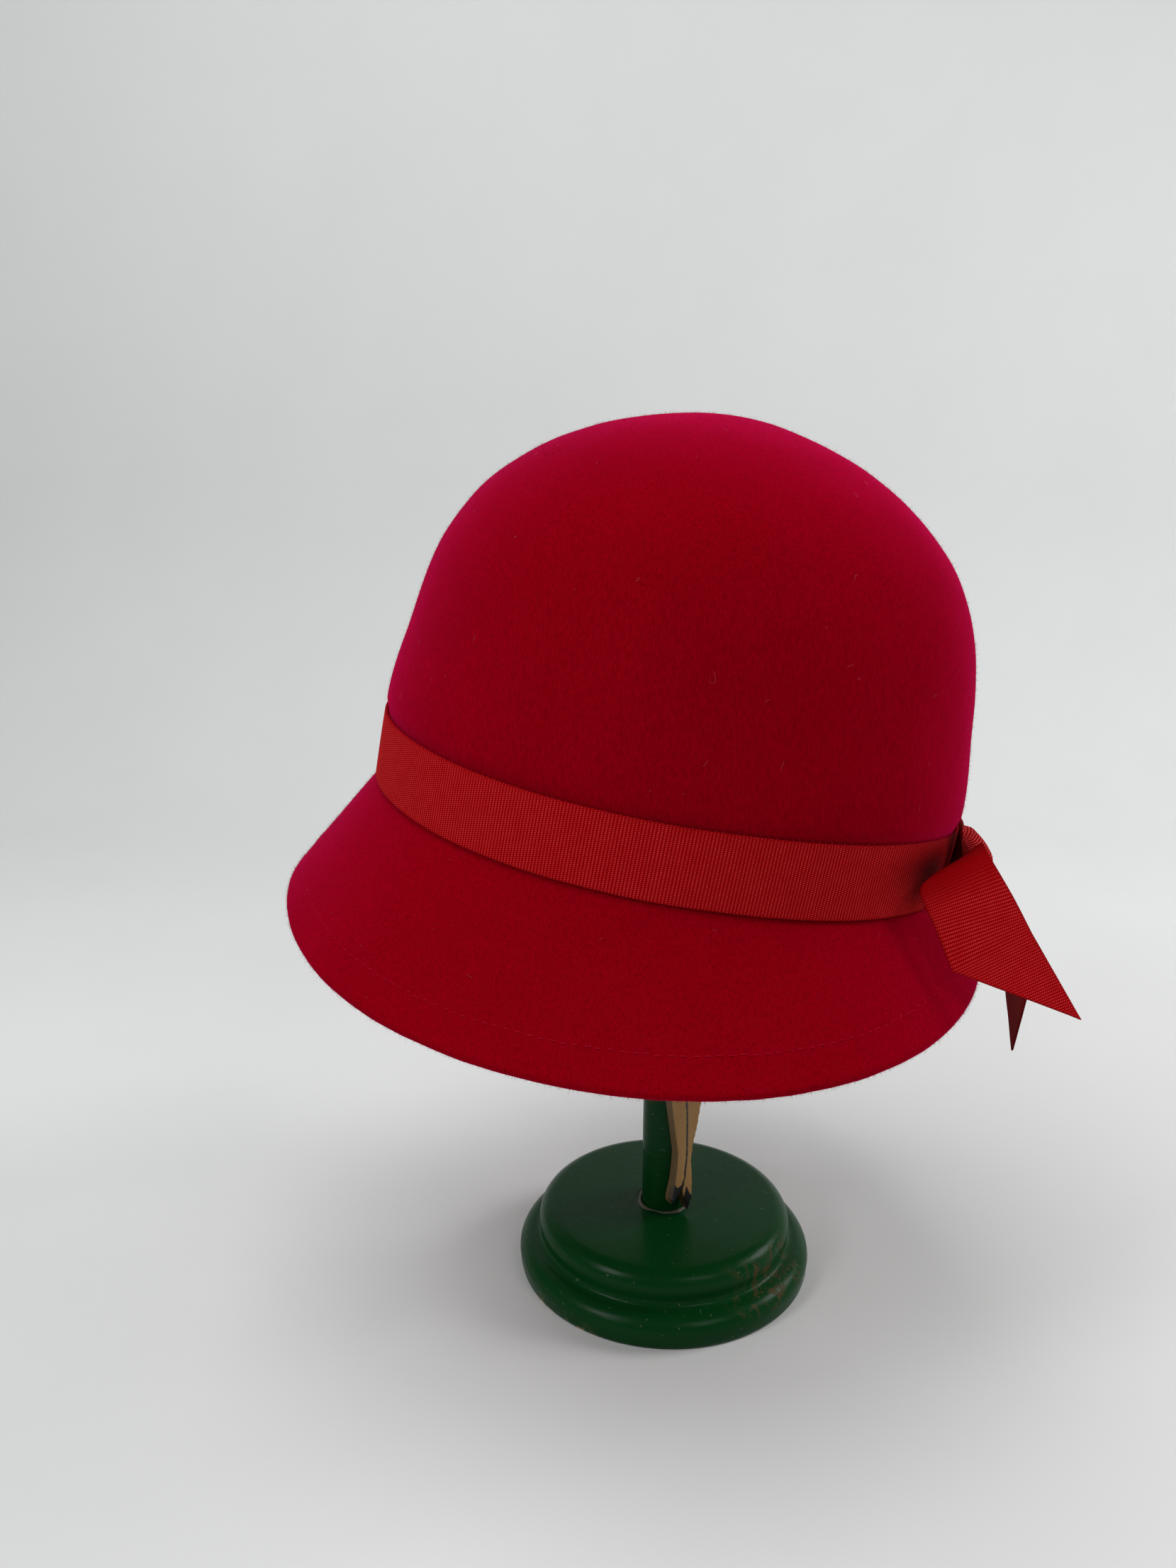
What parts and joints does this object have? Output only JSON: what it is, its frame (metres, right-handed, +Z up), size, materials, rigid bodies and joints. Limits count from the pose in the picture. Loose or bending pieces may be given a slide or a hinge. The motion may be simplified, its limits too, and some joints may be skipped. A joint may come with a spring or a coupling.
{
  "type": "cloche hat on a stand",
  "caption": "Close-fitting felt hat with a turned-down brim, a ribbon band and a bow at the back, resting on a turned wooden stand.",
  "frame": {"origin": "centre of the stand's underside, on the surface it stands on", "axes": "+Z up the stand's post, -Y the way the wearer faces, +X the wearer's left"},
  "size_m": [0.2287, 0.266, 0.3114],
  "materials": {
    "felt": "brushed wool felt",
    "ribbon": "ribbed grosgrain",
    "paint": "satin green paint, lightly worn",
    "wood": "bare tan wood with dark painted lines"
  },
  "bodies": {
    "root": {"felt_hat": "felt", "ribbon_band": "ribbon", "ribbon_knot": "ribbon", "ribbon_tail_near": "ribbon", "ribbon_tail_far": "ribbon", "stand_base": "paint", "stand_post": "paint", "stand_cap": "paint", "stand_board": "wood"}
  },
  "joints": []
}
